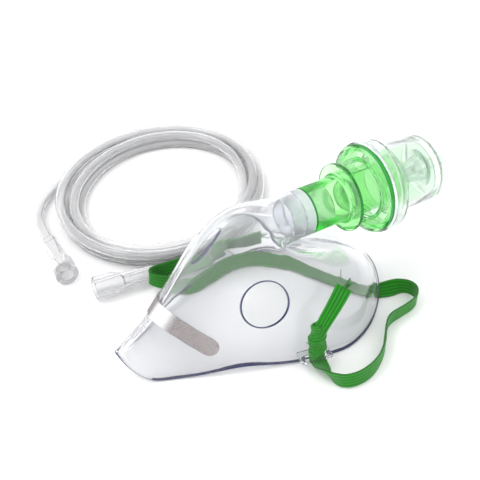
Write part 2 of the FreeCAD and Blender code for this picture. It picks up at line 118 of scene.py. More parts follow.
def report(obj):
    """Print a piece's size."""
    points = corners(obj) / MM
    low, high = points.min(0).round(1), points.max(0).round(1)
    print(f"{obj.name}: {len(obj.data.polygons)} faces, {low} to {high} mm")
    return obj


# %% [markdown]
# ## Shader sums
# A material varies over a surface by sums on noise and coordinates. A small class lets
# these be written as ordinary Python sums; each operator adds one Math node.

# %% A number in a shader
class Number:
    """A number in a shader. Sums on it add Math nodes."""

    def __init__(self, finish, socket):
        self.finish = finish
        self.socket = socket

    def sum(self, operation, *values):
        node = self.finish.node("ShaderNodeMath", {"operation": operation}, dict(enumerate(values)))
        return Number(self.finish, node.outputs[0])

    def __add__(self, other):
        return self.sum("ADD", self, other)

    def __sub__(self, other):
        return self.sum("SUBTRACT", self, other)

    def __rsub__(self, other):
        return self.sum("SUBTRACT", other, self)

    def __mul__(self, other):
        return self.sum("MULTIPLY", self, other)

    def sine(self):
        return self.sum("SINE", self)

    def cosine(self):
        return self.sum("COSINE", self)

    def size(self):
        return self.sum("ABSOLUTE", self)

    def power(self, exponent):
        return self.sum("POWER", self, exponent)

    def ramp(self, low, high):
        """0 below low and 1 above high, with a smooth step between."""
        made = self.finish.node("ShaderNodeMapRange", {"interpolation_type": "SMOOTHSTEP"},
                                {"Value": self, "From Min": low, "From Max": high})
        return Number(self.finish, made.outputs[0])

    __radd__ = __add__
    __rmul__ = __mul__


# %% A material and its nodes
class Finish:
    """A material whose nodes are added by one method."""

    def __init__(self, name):
        self.material = bpy.data.materials.new(name)
        self.material.use_nodes = True
        self.tree = self.material.node_tree
        self.shader = self.tree.nodes["Principled BSDF"]
        self.output = self.tree.nodes["Material Output"]

    def node(self, kind, settings=None, inputs=None):
        """Add a node, set its properties and then its inputs to values or links."""
        node = self.tree.nodes.new(kind)
        for name, value in (settings or {}).items():
            setattr(node, name, value)
        self.fill(node, inputs or {})
        return node

    def fill(self, node, inputs):
        """Give a node's sockets values, links or shader numbers."""
        for name, value in inputs.items():
            if isinstance(value, Number):
                value = value.socket
            if isinstance(value, bpy.types.NodeSocket):
                self.tree.links.new(value, node.inputs[name])
            else:
                node.inputs[name].default_value = value

    def surface(self, **inputs):
        """Set the shader's sockets; underscores in a name stand for spaces."""
        self.fill(self.shader, {name.replace("_", " "): value for name, value in inputs.items()})

    def place(self, output="Object"):
        """Coordinates on the piece: in metres on its Object output, or its UV map."""
        return self.node("ShaderNodeTexCoord").outputs[output]

    def stretched(self, scale, output="Object"):
        """Coordinates multiplied by three numbers."""
        made = self.node("ShaderNodeMapping", inputs={"Vector": self.place(output), "Scale": scale})
        return made.outputs[0]

    def noise(self, vector, scale, detail=2.0):
        """A cloudy number between 0 and 1."""
        made = self.node("ShaderNodeTexNoise",
                         inputs={"Vector": vector, "Scale": scale, "Detail": detail})
        return Number(self, made.outputs["Fac"])

    def vector(self, operation, first, second, output="Vector"):
        """A sum on vectors."""
        made = self.node("ShaderNodeVectorMath", {"operation": operation}, {0: first, 1: second})
        return made.outputs[output]

    def mixed(self, amount, first, second):
        """A colour between two colours."""
        made = self.node("ShaderNodeMix", {"data_type": "RGBA"}, {0: amount, 6: first, 7: second})
        return made.outputs[2]

    def bumps(self, height, depth):
        """A normal from a height, with its depth in metres."""
        return self.node("ShaderNodeBump", inputs={"Height": height, "Distance": depth}).outputs[0]

    def tint_inside(self, colour, density):
        """Tint light by how far it travels inside the wall."""
        made = self.node("ShaderNodeVolumeAbsorption",
                         inputs={"Color": (*colour, 1), "Density": density})
        self.tree.links.new(made.outputs[0], self.output.inputs["Volume"])


# %% [markdown]
# ## Clear plastics
# All clear parts share one recipe. Light goes through, a little is scattered white, and the
# rest is tinted on its way through the wall. So a thin wall looks pale, and a rib or rim,
# which is seen lengthwise, looks deep. Moulding ripples and faint wear vary the gloss.

# %% The clear recipe
# NAVY is the colour of the painted shade on cut and moulded edges.
NAVY = (0.02, 0.025, 0.12)
PORT_HEIGHT = 50.0


def clear_plastic(name, colour, through, tint, density, bend=1.45, gloss=0.05, ripple=0.00004,
                  grain=160, painted_edge_shade=None, dark=NAVY):
    """A see-through plastic: through is how much light passes instead of scattering."""
    made = Finish(name)
    cloud = made.noise(made.place(), grain, 3.0)
    wear = made.noise(made.place(), grain * 9, 1.0)
    tone_and_edge_shade = made.mixed(cloud, (*[0.985 * c for c in colour], 1), (*colour, 1))
    # Edges get painted shade: the base colour is mixed towards the dark colour there.
    if painted_edge_shade:
        tone_and_edge_shade = made.mixed(painted_edge_shade(made), tone_and_edge_shade, (*dark, 1))
    made.surface(Base_Color=tone_and_edge_shade, Roughness=gloss + 0.05 * cloud * wear,
                 Transmission_Weight=through, IOR=bend, Normal=made.bumps(cloud, ripple))
    made.tint_inside(tint, density)
    return made.material


# %% [markdown]
# A cut or moulded edge gathers the light of the whole wall and looks dark. A few samples
# can't show that well in so thin a line, so the edges get painted shade: a darker base colour.
# Where it goes is worked out from the distance to an axis, since every such edge is round.

# %% Where the dark edges are
VENT_PLACE = (-0.0305, 0.025, 0.030)
VENT_WAY = (-0.1507, 0.8337, 0.5324)
VENT_RADIUS = 10.2 * MM
LID_MOUTH, LID_SHOULDER = 7.4 * MM, 28.4 * MM
SHOULDER_RIM, FLANGE_RIM = 16.0 * MM, 21.0 * MM


def vent_edge_shade(made):
    """Where painted shade goes: 1 beside the edge of an exhalation hole; both holes count, being
    mirror images.
    """
    here = made.place()
    mirrored = made.vector("MULTIPLY", here, (1, -1, 1))
    from_vent = made.vector("SUBTRACT", made.vector("MAXIMUM", here, mirrored), VENT_PLACE)
    off_axis = made.vector("CROSS_PRODUCT", from_vent, VENT_WAY)
    distance = Number(made, made.vector("LENGTH", off_axis, (0, 0, 0), "Value"))
    return 1 - (distance - VENT_RADIUS).ramp(0.0003, 0.0007)


def lid_edge_shade(made):
    """Where painted shade goes: 1 on the edges of the lid, its mouth, its shoulder and its flange.
    """
    here = made.place()
    along = Number(made, made.node("ShaderNodeSeparateXYZ", inputs={0: here}).outputs[0])
    from_axis = made.vector("SUBTRACT", here, (0, 0, PORT_HEIGHT * MM))
    sideways = made.vector("MULTIPLY", from_axis, (0, 1, 1))
    radius = Number(made, made.vector("LENGTH", sideways, (0, 0, 0), "Value"))
    mouth = 1 - (along - LID_MOUTH).size().ramp(0.0003, 0.0006)
    at_shoulder = 1 - (along - LID_SHOULDER).size().ramp(0.0009, 0.0012)
    shoulder = radius.ramp(SHOULDER_RIM, SHOULDER_RIM + 0.0003) * at_shoulder
    return mouth + shoulder + radius.ramp(FLANGE_RIM, FLANGE_RIM + 0.0003)


# %% The six clear plastics and the cut edge
# Painted shade: the mask's vent edges are mixed towards navy, and the cut edge below is navy all
# over.
SOFT_VINYL = clear_plastic("soft_vinyl", (0.988, 0.99, 1.0), 0.955, tint=(0.50, 0.54, 0.88),
                           density=13, bend=1.42, gloss=0.04, ripple=0.0003, grain=45,
                           painted_edge_shade=vent_edge_shade)
CUT_EDGE_SHADE = clear_plastic("cut_edge_shade", NAVY, 0.10, tint=(0.2, 0.22, 0.6), density=15)
MILKY = clear_plastic("milky_adaptor", (0.945, 0.95, 1.0), 0.74, tint=(0.80, 0.84, 0.97),
                      density=20, bend=1.35)
CLEAR_RIGID = clear_plastic("clear_rigid", (0.985, 0.99, 0.987), 0.96, tint=(0.72, 0.86, 0.80),
                            density=60, bend=1.33)
# Painted shade: the lid's mouth, shoulder and flange edges are mixed towards dark green.
GREEN_RIGID = clear_plastic("green_rigid", (0.82, 1.0, 0.78), 0.97, tint=(0.38, 0.955, 0.38),
                            density=150, bend=1.38, painted_edge_shade=lid_edge_shade, dark=(0.01, 0.25, 0.04))
PALE_GREEN = clear_plastic("pale_green", (0.93, 1.0, 0.93), 0.95, tint=(0.50, 0.95, 0.55),
                           density=150, bend=1.3)
TUBE_VINYL = clear_plastic("tube_vinyl", (0.96, 0.96, 0.965), 0.86, tint=(0.80, 0.80, 0.82),
                           density=30, bend=1.42, gloss=0.07, ripple=0.0001, grain=90)
PLASTICS = (SOFT_VINYL, CUT_EDGE_SHADE, MILKY, CLEAR_RIGID, GREEN_RIGID, PALE_GREEN, TUBE_VINYL)
print("clear plastics", [plastic.name for plastic in PLASTICS])


# %% [markdown]
# The elastic is a woven tape. Its UV map runs in metres: along the tape and across it, so
# the same threads keep their size on every piece. The lengthwise rubber ribs are geometry,
# with painted shade in the grooves between them, and the cover threads are slanted bumps.

# %% Woven elastic
STRAP_WIDE, STRAP_THICK = 8.0 * MM, 1.05 * MM
RIBS = 5
THREAD_PITCH = 0.62 * MM


def woven_elastic():
    made = Finish("green_elastic")
    split = made.node("ShaderNodeSeparateXYZ", inputs={0: made.place("UV")})
    along, across = Number(made, split.outputs[0]), Number(made, split.outputs[1])
    thread = 2 * math.pi / THREAD_PITCH
    weave = ((along + across * 0.55) * thread).sine().size()
    cross = ((along - across * 0.4) * (thread * 0.5)).sine().size()
    fuzz = made.noise(made.stretched((900, 2600, 1), "UV"), 1.0, 2.0)
    worn = made.noise(made.place(), 60, 3.0)
    # Painted shade: the grooves between the ribs are darkened; the rib tops keep the weave colour.
    rib = (across * (RIBS * math.pi / STRAP_WIDE)).cosine().size()
    shade = made.mixed(weave * 0.35 + fuzz * 0.65, (0.001, 0.10, 0.001, 1), (0.018, 0.42, 0.008, 1))
    ribbed = made.mixed(rib.power(0.7), (0.0004, 0.022, 0.0004, 1), shade)
    made.surface(Base_Color=made.mixed(worn * 0.25, ribbed, (0.03, 0.46, 0.012, 1)),
                 Roughness=0.62 + 0.2 * fuzz, Sheen_Weight=0.25, Sheen_Roughness=0.4,
                 Specular_IOR_Level=0.35,
                 Normal=made.bumps(weave * 0.7 + cross * 0.3 + fuzz * 0.4, 0.00016))
    return made.material


ELASTIC = woven_elastic()
print("elastic", ELASTIC.name)


# %% [markdown]
# The nose strip is soft aluminium, brushed and slightly warm in colour, with a grey grain.
# Over the bridge a painted highlight makes it brighter.

# %% Brushed aluminium
def brushed_aluminium():
    made = Finish("nose_aluminium")
    brush = made.noise(made.stretched((260, 2400, 260)), 1.0, 4.0)
    speck = made.noise(made.place(), 2600, 2.0)
    across = Number(made, made.node("ShaderNodeSeparateXYZ", inputs={0: made.place()}).outputs[1])
    bare = made.mixed(speck.ramp(0.3, 0.7), (0.20, 0.18, 0.18, 1), (0.48, 0.44, 0.44, 1))
    # A painted highlight: the base colour turns near white along the ridge of the bridge.
    painted_ridge_highlight = 1 - (across + 0.003).size().ramp(0.002, 0.0068)
    made.surface(Base_Color=made.mixed(painted_ridge_highlight * 0.85, bare, (0.93, 0.93, 0.95, 1)),
                 Metallic=1.0, Roughness=0.24 + 0.2 * brush,
                 Normal=made.bumps(brush + speck * 0.6, 0.00004))
    return made.material


ALUMINIUM = brushed_aluminium()
print("strip", ALUMINIUM.name)


# %% [markdown]
# ## Camera, floor and light
# Clear plastic shows what stands around it. The world is white overhead and a little darker
# towards the horizon, so edges get a soft dark line, and one broad lamp gives highlights.
# Light crosses dozens of walls in the nested parts, so paths are allowed many bounces.

# %% Camera and stage
def set_camera():
    camera = bpy.data.objects.new("camera", bpy.data.cameras.new("camera"))
    bpy.context.scene.collection.objects.link(camera)
    camera.location = (-0.2011, -0.2742, 0.2924)
    camera.rotation_euler = Vector((0.428, 0.674, -0.602)).to_track_quat("-Z", "Y").to_euler()
    camera.data.lens = 69.15
    camera.data.clip_start = 0.01
    bpy.context.scene.camera = camera


def set_floor():
    bpy.ops.mesh.primitive_plane_add(size=6, location=(0, 0, -0.0002))
    floor = bpy.context.active_object
    floor.name = "floor"
    made = Finish("white_floor")
    made.surface(Base_Color=(0.97, 0.97, 0.975, 1), Roughness=0.9, Specular_IOR_Level=0.1)
    floor.data.materials.append(made.material)


def set_world():
    world = bpy.data.worlds.new("white_studio")
    world.use_nodes = True
    tree = world.node_tree
    place = tree.nodes.new("ShaderNodeTexCoord")
    split = tree.nodes.new("ShaderNodeSeparateXYZ")
    ramp = tree.nodes.new("ShaderNodeValToRGB")
    stops = ramp.color_ramp.elements
    stops[0].position, stops[0].color = 0.0, (0.70, 0.71, 0.74, 1)
    stops[1].position, stops[1].color = 0.32, (1, 1, 1, 1)
    tree.links.new(place.outputs["Generated"], split.inputs[0])
    tree.links.new(split.outputs[2], ramp.inputs[0])
    tree.links.new(ramp.outputs[0], tree.nodes["Background"].inputs["Color"])
    tree.nodes["Background"].inputs["Strength"].default_value = 1.3
    bpy.context.scene.world = world


def set_lamp(name, place, size, power):
    bpy.ops.object.light_add(type="AREA", location=place)
    lamp = bpy.context.active_object
    lamp.name = name
    lamp.data.size = size
    lamp.data.energy = power
    lamp.rotation_euler = (-Vector(place)).to_track_quat("-Z", "Y").to_euler()


WALLS_IN_A_ROW = 28
set_camera()
set_floor()
set_world()
set_lamp("softbox", (-0.5, 0.3, 0.9), 0.5, 3.0)
bpy.context.scene.view_settings.view_transform = "Standard"
for kind in ("max", "transmission", "glossy"):
    setattr(bpy.context.scene.cycles, kind + "_bounces", WALLS_IN_A_ROW)
print("stage set")


# %% [markdown]
# ## The air tubing
# One tube of plain vinyl lies in a loose coil. A NURBS curve with listed points at its
# two ends and a loop of points for the turns gives a smooth line, and the turns change lanes
# as real ones do: side by side on the floor first, then back on top of each other. The
# curve's bevel makes it a tube, and Solidify gives the tube its wall.

# %% The tube's route
TUBE_RADIUS = 2.7 * MM
COIL_MIDDLE = (-9, 111.5)
COIL_LONG, COIL_SHORT, COIL_TILT = 60.5, 50.0, math.radians(50)
COIL_START, COIL_END = 215.8, 77.6 + 5 * 360
LANES = [(5.4, 2.7), (0.0, 2.7), (-5.4, 2.7), (-2.6, 8.0), (3.2, 8.0), (6.2, 5.0)]
OUTERMOST = 5.6
TAIL_A = [
    (-41, 157.5, 5), (-53, 150.5, 3.4), (-65, 142, 2.9), (-74, 130.5, 2.9), (-79.5, 115.5, 4.4),
    (-80.8, 99, 5.9)]
TAIL_B = [(-46.5, 47.4, 5.9), (-38, 46.6, 4.6), (-29, 48.6, 3.2), (-19, 51.9, 2.9)]


EARLY_LANES, LATE_HURRY = 2, 0.35
FAN, FAN_SWING, WIDENING = 1.2, 0.42, 1.05


def lane(turns):
    """How far out and how high the tube lies after so many turns."""
    before = min(int(turns), len(LANES) - 2)
    (out, high), (next_out, next_high) = LANES[before], LANES[before + 1]
    hurry = min(1.0, (turns - before) / (1.0 if before < EARLY_LANES else LATE_HURRY))
    ease = hurry * hurry * (3 - 2 * hurry)
    return out + (next_out - out) * ease, high + (next_high - high) * ease


def coil_point(degrees):
    """A point of the coil at an angle counted on from its start."""
    turns = (degrees - COIL_START) / 360
    out, high = lane(turns)
    angle = math.radians(degrees)
    fan = FAN + FAN_SWING * math.sin(angle + COIL_TILT)
    spread = OUTERMOST - (OUTERMOST - out) * fan
    wander = 0.5 * math.sin(2.3 * angle + turns) + 0.4 * math.sin(0.7 * angle)
    along = (COIL_LONG + spread + wander) * math.cos(angle)
    across = (COIL_SHORT + spread + wander) * math.sin(angle)
    x = WIDENING * (along * math.cos(COIL_TILT) - across * math.sin(COIL_TILT))
    y = along * math.sin(COIL_TILT) + across * math.cos(COIL_TILT)
    return COIL_MIDDLE[0] + x, COIL_MIDDLE[1] + y, high


STEP = 20
STEPS = int((COIL_END - COIL_START) / STEP)
TURNS = [coil_point(COIL_START + STEP * k) for k in range(1, STEPS)]
TUBE_ROUTE = TAIL_B + TURNS + TAIL_A
print("tube route", len(TUBE_ROUTE), "points")


# %% A smooth line through a route
def nurbs_line(name, route):
    """A NURBS curve of order 3 with the route's points, in millimetres, as control points."""
    data = bpy.data.curves.new(name, "CURVE")
    data.dimensions = "3D"
    spline = data.splines.new("NURBS")
    spline.points.add(len(route) - 1)
    for point, place in zip(spline.points, route):
        point.co = (place[0] * MM, place[1] * MM, place[2] * MM, 1)
    spline.order_u = 3
    spline.use_endpoint_u = True
    data.resolution_u = 8
    line = bpy.data.objects.new(name, data)
    bpy.context.scene.collection.objects.link(line)
    return line


def line_points(line):
    """Points along a curve that has no thickness yet."""
    mesh = bpy.data.meshes.new_from_object(line)
    points = np.array([vertex.co for vertex in mesh.vertices])
    bpy.data.meshes.remove(mesh)
    return points


def length_of(points):
    return float(np.linalg.norm(np.diff(points, axis=0), axis=1).sum())


# %% The tube
def make_tube():
    tube = nurbs_line("air_tube", TUBE_ROUTE)
    path = line_points(tube)
    tube.data.bevel_depth = TUBE_RADIUS
    tube.data.bevel_resolution = 5
    only(tube)
    bpy.ops.object.convert(target="MESH")
    tube = bpy.context.active_object
    add(tube, "SOLIDIFY", thickness=0.75 * MM, offset=-1)
    smooth(applied(tube), 60)
    dress(tube, TUBE_VINYL)
    print("tube length", round(length_of(path), 3))
    return report(tube), path


air_tube, tube_path = make_tube()

# %% [markdown]
# ## The head strap
# The elastic leaves one ear of the mask, stands on its edge in a loop, runs flat under the
# mask and across, stands on its edge again and ends in the other ear. A curve's own bevel
# can't be turned point by point, so a section is swept along the line in code, with its wide
# way turned as the route lists: upright, flat and upright again.

# %% The strap's route
# x, y, z of the middle, and how far the wide way is turned from upright, in degrees
STRAP_ROUTE = [
    (-14, -43.0, 4.6, 88), (-14.2, -46.5, 2.9, 70), (-15.5, -51.5, 3.6, 30), (-15.6, -57, 4.3, 6),
    (-12.0, -62.0, 4.3, -4), (-4, -63.5, 4.3, -6), (6, -61, 4.3, 0), (15.5, -54.5, 4.3, 0),
    (22.5, -46.5, 4.3, 0), (29, -40.5, 4.3, 4), (38.5, -39.5, 4.3, 8), (48.5, -38, 4.3, 4),
    (54.5, -31.5, 4.3, 0), (51.5, -24.5, 4.1, 8), (44.5, -21.8, 2.6, 55), (36, -17.5, 1.0, 90),
    (29.5, -5, 0.9, 92), (23.5, 9, 1.0, 90), (16.5, 22, 2.6, 62), (3, 32, 4.1, 20),
    (-12, 35.5, 4.0, 22), (-25, 33.5, 2.8, 52), (-34, 31.5, 2.5, 60), (-41, 33.5, 4.0, 40),
    (-46.5, 36.6, 6.5, 10), (-51.0, 38.4, 8.2, 0), (-53.2, 41.2, 9.3, 0), (-50.2, 43.2, 9.6, 0),
    (-43.5, 43.2, 8.8, 0), (-35, 43.4, 7.4, -10), (-25.5, 43.9, 5.6, -50), (-18, 43.2, 4.6, -88)]


# %% A tape swept along a line
ROW_STEP = 0.5 * MM


def tape_section(wide, thick, columns=30):
    """Half widths and half thicknesses across a ribbed tape: there and back round its edges."""
    across = np.linspace(-1, 1, columns)
    swell = 0.55 + 0.45 * np.abs(np.cos(across * RIBS * math.pi / 2)) ** 0.6
    edge = np.clip((1 - np.abs(across)) / 0.06, 0, 1) ** 0.5
    half = thick / 2 * swell * (0.25 + 0.75 * edge)
    there = np.stack([across * wide / 2, half], 1)
    back = np.stack([across[::-1] * wide / 2, -half[::-1]], 1)
    return np.concatenate([there, back])


def distances(points):
    """How far along a line each of its points lies."""
    return np.concatenate([[0], np.cumsum(np.linalg.norm(np.diff(points, axis=0), axis=1))])


def evenly(points, turns, step):
    """Resample a line, and a number given along it, at even steps."""
    gone = distances(points)
    where = np.linspace(0, gone[-1], max(4, int(gone[-1] / step)))
    places = [np.interp(where, gone, points[:, axis]) for axis in range(3)]
    return np.stack(places, 1), np.interp(where, gone, turns)


def wide_ways(points, turns):
    """The wide and the thin direction of a tape at each point of its line."""
    ahead = np.gradient(points, axis=0)
    ahead /= np.linalg.norm(ahead, axis=1)[:, None]
    level = np.cross(ahead, (0, 0, 1))
    level /= np.linalg.norm(level, axis=1)[:, None]
    upright = np.cross(level, ahead)
    angle = np.radians(turns)[:, None]
    wide_way = np.cos(angle) * upright + np.sin(angle) * level
    return wide_way, np.cross(ahead, wide_way)


def tape_mesh(name, places, gone, section):
    """A closed mesh from rows of places, with a UV map in metres."""
    rows, around = places.shape[:2]
    faces = []
    for row in range(rows - 1):
        for k in range(around):
            here, beside = row * around + k, row * around + (k + 1) % around
            faces.append((here, beside, beside + around, here + around))
    faces += [tuple(range(around))[::-1], tuple((rows - 1) * around + k for k in range(around))]
    mesh = bpy.data.meshes.new(name)
    mesh.from_pydata(places.reshape(-1, 3).tolist(), [], faces)
    corner = np.array([loop.vertex_index for loop in mesh.loops])
    flat = np.stack([gone[corner // around], section[corner % around, 0]], 1)
    mesh.uv_layers.new(name="UVMap").uv.foreach_set("vector", flat.ravel())
    mesh.materials.append(ELASTIC)
    return mesh


def tape(name, route, wide=STRAP_WIDE, thick=STRAP_THICK, spread=(1.0, 1.0)):
    """A ribbed tape along a route of (x, y, z, turn); also returns its middle line."""
    line = nurbs_line(name + "_line", route)
    points = line_points(line)
    bpy.data.objects.remove(line)
    turns = np.interp(np.linspace(0, len(route) - 1, len(points)), range(len(route)),
                      [stop[3] for stop in route])
    points, turns = evenly(points, turns, ROW_STEP)
    wide_way, thin_way = wide_ways(points, turns)
    section = tape_section(wide, thick)
    widening = np.linspace(*spread, len(points))[:, None, None]
    places = (points[:, None] + wide_way[:, None] * section[None, :, :1] * widening
              + thin_way[:, None] * section[None, :, 1:])
    obj = bpy.data.objects.new(name, tape_mesh(name, places, distances(points), section))
    bpy.context.scene.collection.objects.link(obj)
    only(obj)
    bpy.ops.object.mode_set(mode="EDIT")
    bpy.ops.mesh.select_all(action="SELECT")
    bpy.ops.mesh.normals_make_consistent(inside=False)
    bpy.ops.object.mode_set(mode="OBJECT")
    return smooth(obj, 50), points


head_strap, strap_path = tape("head_strap", STRAP_ROUTE)
print("strap length", round(length_of(strap_path), 3))
report(head_strap)


# %% [markdown]
# ## The knots
# At each ear the strap comes up through the slot, is wound round itself and drawn tight, and
# its cut end stands out. So a knot is made of short tapes: the rising part, the turns of the
# wrap and the cut end, with a few loose threads.

# %% Loose threads
def threads(name, start, heading, count, seed, reach=4.5):
    """A few thin curved fibres that leave a cut end."""
    rng = random.Random(seed)
    heading = Vector(heading).normalized()
    made = []
    for k in range(count):
        sideways = Vector([rng.uniform(-1, 1) for axis in range(3)])
        root = Vector(start) + sideways * 1.6
        middle = root + heading * reach * rng.uniform(0.3, 0.6) + sideways * 0.8
        tip = root + heading * reach * rng.uniform(0.5, 1.0) + sideways * 2.2
        line = nurbs_line(f"{name}_{k}", [tuple(root), tuple(middle), tuple(tip)])
        line.data.bevel_depth = 0.15 * MM
        line.data.bevel_resolution = 1
        only(line)
        bpy.ops.object.convert(target="MESH")
        made.append(dress(bpy.context.active_object, ELASTIC))
    return made


# %% One knot
EAR_X, SLOT_Y = -14.0, 42.5
LOOP_LONG, LOOP_SHORT, LOOP_GAP = 3.6, 2.6, 3.3


def upright_tape(route):
    """A tape that rises straight up has no level side, so it leans a little outwards."""
    return [(x, y + math.copysign(0.02 * z, y), z, turn) for x, y, z, turn in route]


def knot_loop(name, k, y, level):
    """One turn of the wrap, tilted the other way from the turn below it."""
    tilt = (-1) ** k
    middle = EAR_X + 0.7 * math.sin(2.1 * k)
    ring = []
    for step in range(11):
        turn = 2 * math.pi * step / 10 + 0.4 + k
        height = level + 0.7 * tilt * math.cos(turn - k) + 0.3 * math.sin(2 * turn)
        ring.append((middle + LOOP_LONG * math.cos(turn), y + LOOP_SHORT * math.sin(turn),
                     height, 8 * tilt))
    return tape(f"{name}_loop_{k}", ring, 4.4 * MM, 1.1 * MM)[0]


def knot(name, side, tail_route, top):
    """The knot above an ear; side is -1 for the near ear and 1 for the far one."""
    y = side * (SLOT_Y + 0.4)
    rising = [(EAR_X, side * 42.6, 3.4, 90), (EAR_X, side * 42.8, 6.5, 90),
              (EAR_X + 0.4, y, 12, 90), (EAR_X + 0.2, y + side * 0.6, top, 90)]
    rise = tape(name + "_rise", upright_tape(rising), 7.2 * MM, 1.3 * MM)[0]
    levels = np.arange(8.0, top, LOOP_GAP)
    loops = [knot_loop(name, k, y, level) for k, level in enumerate(levels)]
    tail = tape(name + "_end", tail_route, 7.2 * MM, spread=(0.8, 1.05))[0]
    tip = tail_route[-1][:3]
    heading = Vector(tip) - Vector(tail_route[-2][:3])
    fibres = threads(name + "_fibre", tip, heading, 16, 11 + side)
    stray_root = (EAR_X - 2, y + side * 2.5, 14.0)
    fibres += threads(name + "_stray", stray_root, (-1, side * 0.2, 0.1), 3, 5 + side, 6.0)
    return report(joined(name, [rise, *loops, tail, *fibres]))


# %% Both knots
NEAR_TAIL = [
    (-15.2, -44.6, 20.5, -46), (-13.6, -44.8, 24.0, -52), (-10.2, -43.9, 27.0, -60),
    (-6, -42.5, 30.0, -62), (-1.9, -41.0, 33.2, -62), (1.2, -39.8, 35.8, -58)]
FAR_TAIL = [
    (-14.5, 44.4, 10.5, 20), (-9.5, 44.8, 9.6, 10), (-4, 44.2, 8.2, 4), (2, 43.8, 7.4, 0),
    (8, 43.4, 6.8, -6), (13.5, 43.0, 6.6, -10)]
near_knot = knot("near_knot_tied", -1, NEAR_TAIL, 24.0)
far_knot = knot("far_knot_tied", 1, FAR_TAIL, 14.0)

# %% [markdown]
# ## The face mask
# The mask is one soft moulding. It is drawn as rings from the rim to the neck, on a cage
# of a grid primitive, which a Subdivision Surface modifier rounds. Each ring's halves are
# superellipses: pointed on the nose side and round on the chin side.

# %% The rings of the cage
NOSE_X, CHIN_X, CHEEK_X, CHEEK_HALF = -91.4, 48.2, 3.0, 42.2
RINGS = [
    # nose x, z   cheek x, y, z    chin x, z   nose and chin exponents, height power
    (-87.2, 12.3, 3.0, 40.9, 2.6, 46.6, 9.6, 1.38, 1.75, 2.0),
    (-81.5, 15.4, 2.2, 39.9, 9.5, 44.4, 13.6, 1.40, 1.85, 2.0),
    (-74.0, 22.0, 0.5, 38.3, 18.0, 40.4, 19.0, 1.45, 1.95, 2.0),
    (-63.0, 34.6, -3.5, 34.6, 28.0, 33.0, 24.8, 1.55, 2.0, 2.0),
    (-52.0, 50.2, -8.5, 28.4, 38.0, 23.2, 29.4, 1.65, 2.0, 2.0),
    (-39.5, 61.6, -13.5, 21.0, 45.8, 12.5, 32.4, 1.80, 2.0, 1.8),
    (-27.5, 65.2, -15.5, 15.2, 49.2, 2.6, 34.8, 1.90, 2.0, 1.5),
    (-18.5, 64.4, -14.0, 12.3, 50.0, -3.6, 36.3, 2.0, 2.0, 1.2),
    (-12.5, 62.3, -9.6, 11.1, 50.0, -6.2, 37.7, 2.0, 2.0, 1.0)]
NECK_RINGS = [(-6.5, 2.0), (-2.3, 0.7), (1.9, 0.0)]
NECK_RADIUS = 11.0
AROUND = 48
EDGE_LINE = 0.75 * MM


def powered(turn, exponent):
    """Cosine and sine of a turn raised so that they trace a superellipse."""
    power = 2 / exponent
    cosine, sine = math.cos(turn), math.sin(turn)
    return math.copysign(abs(cosine) ** power, cosine), math.copysign(abs(sine) ** power, sine)


NOSE_ARCH, CHEEK_ARCH, CHIN_ARCH = 12, 3.5, 7.5
LIP_SPREAD = 0.42


def rim_height(along):
    """The rim arches over the nose, between nose and cheeks, and under the chin."""
    nose = max(0.0, 1 - max(0.0, along + 91) / 18) ** 4
    cheek = math.exp(-(((along + 44) / 14) ** 2))
    chin = max(0.0, (along - 15) / 33) ** 2
    return 0.15 + NOSE_ARCH * nose + CHEEK_ARCH * cheek + CHIN_ARCH * chin


def ring_point(ring, turn):
    """A point of a ring; turn 0 is the nose and a half turn is the chin."""
    nose_x, nose_z, cheek_x, cheek_y, cheek_z, chin_x, chin_z, nose_power, chin_power, climb = ring
    at_nose = math.cos(turn) > 0
    ahead, side = powered(turn, nose_power if at_nose else chin_power)
    end_x, end_z = (nose_x, nose_z) if at_nose else (chin_x, chin_z)
    blend = abs(math.cos(turn)) ** climb
    return [cheek_x + (end_x - cheek_x) * abs(ahead), -cheek_y * side,
            cheek_z + (end_z - cheek_z) * blend]


def lip_flare(point, share):
    """The nose lip spreads sideways where it meets the rim."""
    point[1] *= 1 + share * LIP_SPREAD * math.exp(-(((point[0] + 86) / 8) ** 2))
    return point


def rim_point(turn):
    flat = (NOSE_X, 0, CHEEK_X, CHEEK_HALF, 0, CHIN_X, 0, 1.37, 1.7, 2.0)
    point = lip_flare(ring_point(flat, turn), 1.0)
    point[2] = rim_height(point[0])
    return point


def neck_point(along, slant, turn):
    """A point of the round neck: the nose side is its top."""
    return [along - slant * math.cos(turn), -NECK_RADIUS * math.sin(turn),
            PORT_HEIGHT + NECK_RADIUS * math.cos(turn)]


# %% [markdown]
# The grid has one row of corners for each ring, and its first and last column meet at the
# nose. After the seam is merged, the cage is rounded, and small folds are pressed into it:
# flutes beside the bridge of the nose, and creases in the corner between neck and chin.

# %% The cage and its folds
def cage():
    rows = 2 + len(RINGS) + len(NECK_RINGS)
    bpy.ops.mesh.primitive_grid_add(x_subdivisions=AROUND, y_subdivisions=rows - 1, size=2)
    mask = bpy.context.active_object
    points = []
    for x, y, z in corners(mask):
        turn = math.pi * (x + 1)
        row = round((y + 1) / 2 * (rows - 1))
        if row < 2:
            point = rim_point(turn)
            point[2] += row * EDGE_LINE / MM
        elif row <= len(RINGS) + 1:
            point = lip_flare(ring_point(RINGS[row - 2], turn), max(0, 1 - (row - 1) / 3))
        else:
            point = neck_point(*NECK_RINGS[row - 2 - len(RINGS)], turn)
        points.append([value * MM for value in point])
    move_corners(mask, points)
    bpy.ops.object.mode_set(mode="EDIT")
    bpy.ops.mesh.select_all(action="SELECT")
    bpy.ops.mesh.remove_doubles(threshold=0.01 * MM)
    bpy.ops.mesh.normals_make_consistent(inside=False)
    bpy.ops.object.mode_set(mode="OBJECT")
    return applied(add(mask, "SUBSURF", levels=3, render_levels=3))


def bell(distance, width):
    return np.exp(-((distance / width) ** 2))


